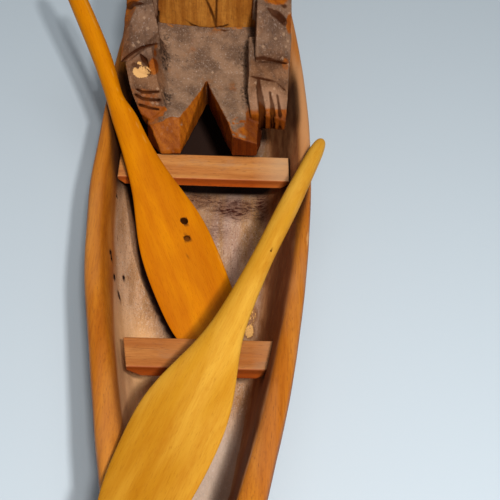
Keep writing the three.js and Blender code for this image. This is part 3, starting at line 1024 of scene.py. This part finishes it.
def paintHull(hull):
    place, normal = surface(hull)
    x, y, z = place
    over = innerRim(x * mm) / mm + np.where(y < 0, -1.3 + 2 * ramp(x, 45, 85), 0.9) - abs(y)
    below = sheer(x * mm) / mm - z
    worn = np.where(y < 0, ramp(below, 2, 9), ramp(below, 0.0, 1.2))
    # painted shade on the floor under the figure and the middle thwart
    shadeUnderFigure = (ramp(x, -62, -50) * ramp(x, 3.7, 2.2) * ramp(22 - z, 0, 3)
                   * ramp(y - 5 * ramp(x, -8, -5), 17.5, 14))
    paint(hull, {
        "inside": ramp(over, -0.5, 1.2) * worn * (normal[2] > -0.2),
        # painted shade on the faces that turn to starboard above the floor, the port wall's inside
        "port_wall_shade": ramp(-normal[1], 0.15, 0.6) * ramp(z - floorAt(x * mm) / mm, 0.6, 3),
        # painted light on the faces that turn to port, the starboard wall's inside
        "starboard_wall_light": ramp(normal[1], 0.15, 0.5),
        "tuck": np.maximum(shadeUnderFigure, shadeUnderBlade(x, y, z)),
        # painted light on the floor ahead of the fore thwart
        "fore_floor_light": ramp(x, 74, 86) * (normal[2] > 0.6),
        # painted light on the starboard side towards the bow
        "fore_side_light": ramp(x, 48, 60) * ramp(y, -9, -11.5),
        "outside": ramp(normal[2], 0.55, 0.1),
        "scars": dab(place, hullLook["scars"]),
        "raw": dab(place, hullLook["raw"]),
        "port_rim": ramp(y, -2, 2) * ramp(x, 90, 10),
        # painted shade inside the woodworm holes and nicks
        "worm": ramp(awayFrom(place, hullForm["holes"]), 0.35, 0.0),
    })


def hullWood():
    material, place = startWood("hull_wood", hullLook["turn"])
    colour, height = grainLayers(place, hullLook)
    masks = edgeWearAndCornerShade(7.5, 0.9, 0.45)
    pale = speckle(place, (45, 6, 6), 2.0)
    grime = speckle(place, (14, 5, 5), 4.0, 0.65)
    dust = speckle(place, (1.6, 0.5, 0.5), 3.0, 0.7)
    scratch = speckle(place, (7, 0.3, 0.3), 2.0, 0.5, 0.6)
    pits = speckle(place, (0.55, 0.4, 0.4), 2.0, 0.6)
    score = speckle(place, (0.8, 2.2, 2), 4.0, 0.7, 0.8)
    rawEdge = calc("ADD", painted("raw"), times(dust, 0.7))
    masks.update({
        "dusty": span(dust, 0.55, 0.72, 0.0, 0.5),
        "scratch": span(scratch, 0.66, 0.72, 0.0, 0.7),
        "deepPits": span(pits, 0.58, 0.7, 0.0, 0.6),
        "palePits": span(pits, 0.40, 0.30, 0.0, 0.5),
        "stained": times(painted("scars"), span(grime, 0.3, 0.55, 0.2, 0.75)),
        "scored": times(painted("scars"), span(score, 0.46, 0.58)),
        "rubbed": span(rawEdge, 0.45, 0.95, 0.0, 0.7),
        "bright": span(calc("ADD", rawEdge, times(pits, 1.3)), 1.58, 1.86),
        "dim": times(painted("outside"), span(grime, 0.3, 0.65, 0.35, 0.85)),
        # painted shade in the corners, weaker where the starboard side towards the bow is painted lighter
        "corner": times(masks["corner"], span(painted("fore_side_light"), 0.0, 1.0, 0.93, 0.2)),
    })
    worn = times(span(pale, 0.42, 0.7), calc("ADD", 0.2, times(painted("port_rim"), 0.75)))
    colour = blend(worn, colour, hullLook["worn"])
    grimy = mottle(grime, *hullLook["dirt"])
    grimy = blend(0.35, grimy, blend(1.0, colour, hullLook["varnish"], "MULTIPLY"))
    grimy = layOn(grimy, hullLook["inside"], masks, grime)
    grimed = span(calc("ADD", painted("inside"), times(grime, 0.5)), 0.5, 1.05)
    colour = layOn(blend(grimed, colour, grimy), hullLook["all"], masks)
    roughness = calc("ADD", span(grime, 0.3, 0.7, 0.4, 0.58), times(grimed, 0.22))
    height = calc("ADD", height, times(dust, 0.5))
    height = calc("SUBTRACT", height, times(masks["scored"], 1.5))
    endWood(colour, roughness, height, 0.5, 0.18)
    return material


thwartLook = {
    "turn": (0, 0, 90),
    "light": (0.55, 0.225, 0.060), "dark": (0.47, 0.165, 0.040), "line": (0.6, 0.45, 0.3),
    "pore": (0.18, 0.05, 0.012),
    "cloud": (30, 4, 4), "rings": (80, 2.6, 2.6), "ringDepth": 0.2, "fibre": (5, 0.35, 0.35),
    "fibreDepth": 0.35, "pores": (2, 0.14, 0.14), "poreDepth": 0.6,
    "coats": (
        ("grimy", 1, (0.36, 0.19, 0.10)),
        ("worn_end", 0.45, (0.55, 0.36, 0.2)),
        ("cut_face", 0.9, (1.0, 0.46, 0.10), "MULTIPLY"),
        ("rusty", 0.55, (0.16, 0.03, 0.004)),
        ("edge", 0.5, (0.70, 0.42, 0.20)),
        ("dull", 1, (0.76, 0.70, 0.66), "MULTIPLY"),
        # painted shade in the corners and wherever another piece lies close
        ("corner", 0.6, (0.06, 0.018, 0.006)),
    ),
}


def paintThwart(thwart):
    (x, y, z), normal = surface(thwart)
    paint(thwart, {
        "cut_face": ramp(abs(normal[0]), 0.5, 0.8),
        "dull": ramp(x, 55, 65),
        "worn_end": ramp(y, 13, 20),
        "rusty": ramp(abs(normal[0]), 0.4, 0.8) * ramp(z, 18.0, 19.0),
    })


def thwartWood():
    material, place = startWood("thwart_wood", thwartLook["turn"])
    colour, height = grainLayers(place, thwartLook)
    grime = speckle(place, (9, 4, 4), 4.0, 0.65)
    masks = {"grimy": span(grime, 0.5, 0.75, 0.0, 0.55), **edgeWearAndCornerShade(2.5)}
    colour = layOn(colour, thwartLook["coats"], masks)
    endWood(colour, span(grime, 0.3, 0.7, 0.46, 0.64), height, 0.5, 0.1)
    return material


paddleLooks = {
    "paddle_loose": {
        "light": (0.63, 0.32, 0.036), "dark": (0.53, 0.235, 0.014), "line": (0.80, 0.62, 0.3),
        "pore": (0.36, 0.13, 0.008), "stain": (0.45, 0.16, 0.006),
        "cloud": (30, 6, 6), "rings": (140, 3.0, 3.0), "ringDepth": 0.2, "fibre": (5, 0.3, 0.3),
        "fibreDepth": 0.3, "pores": (2, 0.14, 0.14), "poreDepth": 0.4, "tipDarkening": 0.9,
    },
    "paddle_stowed": {
        "light": (0.61, 0.20, 0.001), "dark": (0.51, 0.148, 0.001), "line": (0.78, 0.56, 0.3),
        "pore": (0.3, 0.065, 0.001), "stain": (0.42, 0.105, 0.001),
        "cloud": (26, 7, 7), "rings": (120, 3.2, 3.2), "ringDepth": 0.2, "fibre": (5, 0.32, 0.32),
        "fibreDepth": 0.3, "pores": (2, 0.15, 0.15), "poreDepth": 0.4, "tipDarkening": 0.25,
    },
}


def paintPaddle(paddle, form):
    place, _ = surface(paddle)
    paint(paddle, {
        # darker towards the tip of the blade
        "tip_darkening": ramp(np.linalg.norm(place.T - form["tip"], axis=1), 48, 14),
        # painted shade inside each hole, as dark as its table says
        "hole": np.maximum.reduce([dark * ramp(awayFrom(place, (hole,)), 0.16, 0.0)
                                   for dark, *hole in form["holes"]]),
    })


def paddleWood(slot, form, look):
    along = Vector(form["grip"]) - Vector(form["tip"])
    material, place = startWood(slot, (0, 0, -math.degrees(math.atan2(along.y, along.x))))
    place = turned(place, (0, math.degrees(math.atan2(along.z, along.xy.length)), 0))
    colour, height = grainLayers(place, look)
    stains = speckle(place, (16, 4, 4), 4.0, 0.6)
    masks = {"stained": span(stains, 0.52, 0.78, 0.0, 0.6), **edgeWearAndCornerShade()}
    colour = layOn(colour, (
        ("stained", 1, look["stain"]),
        # darker towards the tip of the blade
        ("tip_darkening", look["tipDarkening"], (0.70, 0.60, 0.35), "MULTIPLY"),
        ("edge", 0.12, (0.80, 0.46, 0.12)),
        # painted shade in the corners and wherever another piece lies close
        ("corner", 0.55, (0.09, 0.02, 0.004)),
        # painted shade inside the holes
        ("hole", 1, (0.04, 0.009, 0.002)),
    ), masks)
    endWood(colour, span(stains, 0.3, 0.7, 0.36, 0.52), height, 0.3, 0.05)
    return material


figureLook = {
    "turn": (0, 90, 0),
    "light": (0.34, 0.090, 0.004), "dark": (0.24, 0.055, 0.002), "line": (0.5, 0.32, 0.15),
    "pore": (0.10, 0.024, 0.003),
    "cloud": (16, 5, 5), "rings": (40, 2.4, 2.4), "ringDepth": 0.3, "fibre": (5, 0.4, 0.4),
    "fibreDepth": 0.38, "pores": (1.6, 0.14, 0.14), "poreDepth": 0.6,
    "clean": (
        ("vest", 1, (1.38, 2.0, 6.5), "MULTIPLY"),
        # painted shade on the clean wood
        ("shade", 1, (0.32, 0.20, 0.25), "MULTIPLY"),
    ),
    "oldBase": (0.36, 0.64, (0.125, 0.066, 0.037), (0.25, 0.137, 0.076)),
    "old": (
        ("brownish", 1, (0.24, 0.095, 0.03)),
        ("dusty", 1, (0.44, 0.33, 0.26)),
        ("ruddy", 1, (0.80, 0.60, 0.42), "MULTIPLY"),
        ("sleeve", 1, (0.80, 0.76, 0.76), "MULTIPLY"),
        ("pale", 0.5, (0.40, 0.215, 0.125)),
        ("sooty", 1, (0.035, 0.018, 0.012)),
        ("hair", 0.65, (0.065, 0.036, 0.023)),
        # the darker hair, and painted shade in the creases where the arms and hands meet the body and the lap
        ("stain", 1, (0.018, 0.010, 0.007)),
        # painted shade on the old surface
        ("shade", 0.8, (0.45, 0.30, 0.22), "MULTIPLY"),
    ),
    "all": (
        ("worn", 1, (0.44, 0.27, 0.16)),
        # painted shade in the corners and wherever another piece lies close
        ("corner", 1, (0.045, 0.012, 0.004)),
        ("inGroove", 1, (0.040, 0.009, 0.002)),
        ("broken", 1, (0.64, 0.34, 0.12)),
    ),
    # soft spots: the old surface rubbed off, painted shade in the creases where the arms and hands meet the body
    # and the lap, the lighter palm, the broken wood in the chip
    "bareSpots": (
        ((-14.8, -14.6, 36.4), (2.6, 1.5, 2.4), 0.9), ((-18.6, -14.2, 39), (2.6, 0.9, 2), 0.8),
        ((-27, -20.4, 51.4), (3, 3, 2), 1), ((-28.4, 18.6, 50.8), (2.6, 4.4, 1.8), 1),
        ((-22.4, 22.2, 46.4), (4, 1.2, 3), 0.7), ((-0.4, 12, 26.6), (2.6, 4.5, 1.6), 0.55),
        ((-15.6, 21.4, 38), (2, 1.4, 2.6), 0.6), ((-11, 7.5, 30.6), (5, 2.4, 2), 0.35),
        ((-13, -6, 30.6), (7, 2.2, 2), 0.22), ((-27, -4, 35.4), (4, 3, 2), 0.3),
        ((-35.6, 0, 69.6), (1, 1.8, 0.8), 0.3), ((-44, 8.2, 78.6), (2, 0.6, 2), 0.3),
        ((-42, -19, 62), (5, 2.4, 1.6), 0.8), ((-42, 19, 62), (5, 2.4, 1.6), 0.8), ((-46, 0, 91), (5, 4, 1), 0.5),
    ),
    "creaseShadeSpots": (
        ((-22, -12.2, 33), (4, 1.6, 3), 1), ((-10, -11.4, 29.4), (3.4, 2, 2), 0.8),
        ((-12, 10.6, 31), (6, 1.4, 3), 0.7), ((-27, 12.6, 38), (6, 1.6, 4), 0.6),
        ((-24, 10.5, 34), (6, 2.6, 3), 0.5), ((-26, -12.6, 36), (6, 1.8, 4), 0.6),
    ),
    "palm": (((-6.5, 17, 31.5), (4, 5, 4.5), 1),),
    "chip": (((-13.2, -17.9, 35.6), (1.9, 2.6, 1.9), 1), ((-15.2, -18.6, 36.6), (0.8, 0.8, 0.8), 0.8)),
    "aroundChip": (((-13.2, -17.9, 35.6), (2.6, 3.2, 2.6), 1),),
}


def vestFront(x, y, z, normal):
    front = ramp(normal[0], 0.4, 0.6) * ramp(x, -39, -38) * ramp(x, -31.4, -31.9)
    gap = 13.4 - 0.95 * np.maximum(0, z - 53)  # the coat closes towards the neck
    return front * ramp(z, 36.0, 38.0) * ramp(y, -15.9, -15.2) * ramp(abs(y), gap + 0.5 + 2 * (y < 0), gap)


def bareWood(x, y, z, normal):
    # Where the old dark surface is cut away
    between = (ramp(abs(normal[1]), 0.3, 0.5) * ramp(normal[2], 0.68, 0.5) * ramp(abs(y), 10.5, 9)
               * ramp(x, -21.5, -19.5))
    knees = ramp(normal[0], 0.3, 0.5) * ramp(z, 30, 29) * ramp(x, -9, -6)
    tips = ramp(y, 10.5, 11.5) * ramp(z, 31.2, 29.6) * ramp(x, -7, -5)
    fist = 0.45 * ramp(y, -12, -13) * ramp(z, 34.6, 32.6) * ramp(x, -12.5, -10)
    flank = 0.42 * ramp(y, -13.5, -14.5) * ramp(normal[1], -0.35, -0.6) * ramp(z, 30, 34)
    return np.maximum.reduce([between * (z < 31.5), knees, tips, fist, flank])


def shaded(x, y, z, normal):
    # Painted shade: the port thigh's inside, the port knee's end, under the arms and hands
    inner = 0.66 * ramp(normal[1], -0.3, -0.5) * ramp(y, -0.5, 0.3) * ramp(y, 9, 8) * ramp(x, -21, -19)
    end = ramp(normal[0], 0.7, 0.85) * ramp(x, -1, 1) * ramp(y, -4, 6) * ramp(z, 28, 27)
    outer = ramp(abs(normal[1]), 0.5, 0.75) * ramp(z, 30, 28) * ramp(abs(y), 10.5, 11.5)
    armpit = 0.75 * ramp(-normal[1] * np.sign(y), 0.45, 0.7) * ramp(abs(y), 10.5, 11.5) * ramp(z, 33, 36)
    tips = 0.7 * ramp(y, 10.5, 11.5) * ramp(z, 29.6, 28) * ramp(x, -6, -4)
    return np.maximum.reduce([inner, end, outer, armpit, tips])


def paintFigure(body, form):
    place, normal = surface(body)
    x, y, z = place
    vest = vestFront(x, y, z, normal)
    hair = ramp(z - hairLine(x), 0, 0.8) * (z > 76)
    # redder brown: the hands and the outer side of the starboard sleeve
    hands = ramp(x, -17.5, -16) * ramp(abs(y), 11, 12) * 0.8
    starboardSleeve = ramp(y, -20.5, -21.5) * ramp(x, -32, -29) * ramp(z, 36, 38)
    paint(body, {
        "bare": np.maximum.reduce([bareWood(x, y, z, normal), dab(place, figureLook["bareSpots"]), vest]),
        "vest": vest,
        # painted shade: the port thigh's inside, the port knee's end, under the arms and hands
        "shade": shaded(x, y, z, normal),
        "hair": hair,
        # darker hair, and painted shade in the creases where the arms and hands meet the body and the lap
        "soot": np.maximum(0.5 * hair, dab(place, figureLook["creaseShadeSpots"])),
        "ruddy": np.maximum(hands, starboardSleeve),
        "sleeve": ramp(abs(y), 13.2, 14.4) * ramp(z, 35.5, 38.5) * ramp(x, -55, -45),
        "head": ramp(z, 66, 68),
        "pale": dab(place, figureLook["palm"]),
        "chip": dab(place, figureLook["chip"]),
        "cut": ramp(awayFrom(place, grooveLines(form)), 0.26, 0.0) * (1 - dab(place, figureLook["aroundChip"])),
    })


def figureWood():
    material, place = startWood("figure_wood", figureLook["turn"])
    clean, height = grainLayers(place, figureLook)
    masks = edgeWearAndCornerShade(2.2)
    cloud = speckle(place, (9, 5, 5), 4.0, 0.6)
    brown = speckle(place, (14, 6, 6), 3.0, 0.6)
    dust = speckle(place, (0.6, 0.5, 0.5), 3.0, 0.75)
    soot = speckle(place, (1.0, 0.8, 0.8), 3.0, 0.7)
    wander = calc("ADD", times(calc("SUBTRACT", dust, 0.5), 0.5), times(calc("SUBTRACT", brown, 0.5), 0.9))
    bare = span(calc("ADD", painted("bare"), wander), 0.28, 0.62)
    head = painted("head")
    broken = calc("ADD", painted("chip"), times(calc("SUBTRACT", soot, 0.5), 0.9))
    masks.update({
        "brownish": span(brown, 0.55, 0.72, 0.0, 0.65),
        "dusty": times(span(dust, 0.54, 0.7), span(head, 0.0, 1.0, 0.5, 0.2)),
        "sooty": span(soot, 0.6, 0.7, 0.0, 0.6),
        # darker hair, and painted shade in the creases where the arms and hands meet the body and the lap
        "stain": times(painted("soot"), span(soot, 0.47, 0.58)),
        "worn": times(masks["edge"], span(bare, 0.2, 1.0, 0.4, 0.08)),
        # painted shade in the corners, weaker on the head
        "corner": times(masks["corner"], span(head, 0.0, 1.0, 0.6, 0.3)),
        "inGroove": times(painted("cut"), span(brown, 0.3, 0.7, 1.0, 0.72)),
        "broken": span(broken, 0.45, 0.6),
    })
    clean = layOn(clean, figureLook["clean"], masks)
    old = layOn(mottle(cloud, *figureLook["oldBase"]), figureLook["old"], masks)
    colour = layOn(blend(bare, old, clean), figureLook["all"], masks)
    height = calc("ADD", height, times(dust, 1.1))
    height = calc("SUBTRACT", height, times(masks["stain"], 1.2))
    gloss = span(painted("cut"), 0.0, 1.0, 0.1, 0.02)
    endWood(colour, span(bare, 0.0, 1.0, 0.66, 0.5), height, 0.65, gloss)
    return material


makeCamera()
makeRoom()

hull = makeHull()
paintHull(hull)
finishPiece(hull, "hull", hullWood())
thwartSkin = thwartWood()
for node in thwartForm:
    thwart = makeThwart(node)
    paintThwart(thwart)
    finishPiece(thwart, node, thwartSkin)
for node, slot in (("paddle_loose", "paddle_yellow"), ("paddle_stowed", "paddle_orange")):
    paddle = makePaddle(node)
    paintPaddle(paddle, paddleForm[node])
    finishPiece(paddle, node, paddleWood(slot, paddleForm[node], paddleLooks[node]))
figureSkin = figureWood()
for part, form in (("lap", lapForm), ("trunk", trunkForm), ("head", headForm)):
    body = makeFigure(part, form)
    paintFigure(body, form)
    finishPiece(body, "seated_figure", figureSkin)
